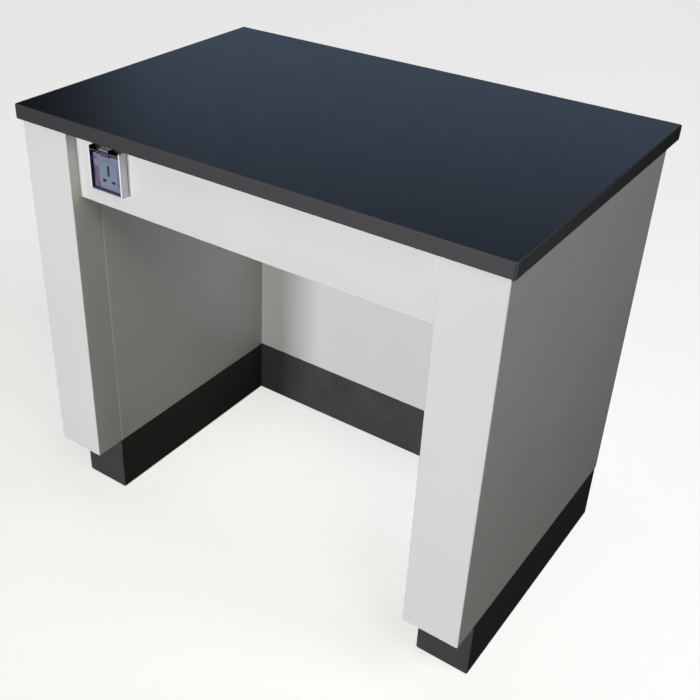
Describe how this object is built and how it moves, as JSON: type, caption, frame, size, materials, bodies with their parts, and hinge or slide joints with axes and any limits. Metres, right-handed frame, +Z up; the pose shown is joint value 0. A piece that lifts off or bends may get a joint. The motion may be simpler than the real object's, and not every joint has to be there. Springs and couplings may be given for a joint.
{
  "type": "weighing balance table",
  "caption": "Anti-vibration weighing table: thick dark resin worktop on rubber pads, two slim steel pedestals on plinths, a back panel, and an apron with a lidded socket.",
  "frame": {"origin": "on the floor under the middle of the table's outer box", "axes": "+X to the right seen from the sitting side, +Y to the back, +Z up"},
  "size_m": [0.9, 0.6, 0.8054],
  "materials": {
    "resin": "satin black-blue phenolic resin",
    "pale_coat": "pale warm grey satin powder coat",
    "charcoal_coat": "charcoal powder coat",
    "frame_paint": "grey primer paint",
    "zinc_steel": "zinc-plated steel",
    "rubber": "black rubber",
    "brass": "plain brass",
    "black_plastic": "black moulded plastic",
    "white_plastic": "white moulded plastic",
    "grey_plastic": "blue-grey moulded plastic",
    "rocker_plastic": "pinkish-grey moulded plastic",
    "clear_lid": "clear blue-violet tinted polycarbonate"
  },
  "bodies": {
    "cabinet": {"worktop": "resin", "worktop_inserts": "brass", "damping_pads": "rubber", "worktop_bolts": "zinc_steel", "rail_end_caps": "black_plastic", "foot_bushes": "zinc_steel", "foot_lock_nuts": "zinc_steel", "apron": "pale_coat", "back_panel": "pale_coat", "rear_panel": "pale_coat", "back_plinth": "charcoal_coat", "rear_plinth": "charcoal_coat", "apron_brackets": "zinc_steel", "cover_screws": "zinc_steel", "front_cross_rail": "frame_paint", "rear_cross_rail": "frame_paint", "rear_foot_rail": "frame_paint", "socket_gasket": "rubber", "splash_frame": "white_plastic", "lid_hinge_pin": "zinc_steel", "socket_plate": "white_plastic", "socket_insert": "grey_plastic", "socket_contacts": "brass", "rocker_pin": "zinc_steel", "socket_back_box": "zinc_steel", "cable_gland": "black_plastic", "plate_screws": "zinc_steel", "frame_screws": "zinc_steel", "left_front_post": "frame_paint", "left_rear_post": "frame_paint", "left_top_rail": "frame_paint", "left_foot_rail": "frame_paint", "left_pedestal_shell": "pale_coat", "left_inner_panel": "pale_coat", "left_rear_cover": "pale_coat", "left_plinth": "charcoal_coat", "left_panel_brackets": "zinc_steel", "right_front_post": "frame_paint", "right_rear_post": "frame_paint", "right_top_rail": "frame_paint", "right_foot_rail": "frame_paint", "right_pedestal_shell": "pale_coat", "right_inner_panel": "pale_coat", "right_rear_cover": "pale_coat", "right_plinth": "charcoal_coat", "right_panel_brackets": "zinc_steel"},
    "lid": {"splash_lid": "clear_lid"},
    "rocker": {"switch_rocker": "rocker_plastic"},
    "left_front_foot": {"left_front_foot_stem": "zinc_steel", "left_front_foot_pad": "rubber"},
    "left_rear_foot": {"left_rear_foot_stem": "zinc_steel", "left_rear_foot_pad": "rubber"},
    "right_front_foot": {"right_front_foot_stem": "zinc_steel", "right_front_foot_pad": "rubber"},
    "right_rear_foot": {"right_rear_foot_stem": "zinc_steel", "right_rear_foot_pad": "rubber"}
  },
  "joints": [
    {"name": "lid_hinge", "type": "hinge", "parent": "cabinet", "child": "lid", "pos_m": [-0.262, -0.285, 0.761], "axis": [-1, 0, 0], "range_deg": [0, 110]},
    {"name": "rocker_tilt", "type": "hinge", "parent": "cabinet", "child": "rocker", "pos_m": [-0.2865, -0.2795, 0.716], "axis": [1, 0, 0], "range_deg": [0, 8]},
    {"name": "left_front_foot_height", "type": "slide", "parent": "cabinet", "child": "left_front_foot", "axis": [0, 0, -1], "range_m": [-0.009, 0.02]},
    {"name": "left_rear_foot_height", "type": "slide", "parent": "cabinet", "child": "left_rear_foot", "axis": [0, 0, -1], "range_m": [-0.009, 0.02]},
    {"name": "right_front_foot_height", "type": "slide", "parent": "cabinet", "child": "right_front_foot", "axis": [0, 0, -1], "range_m": [-0.009, 0.02]},
    {"name": "right_rear_foot_height", "type": "slide", "parent": "cabinet", "child": "right_rear_foot", "axis": [0, 0, -1], "range_m": [-0.009, 0.02]}
  ]
}
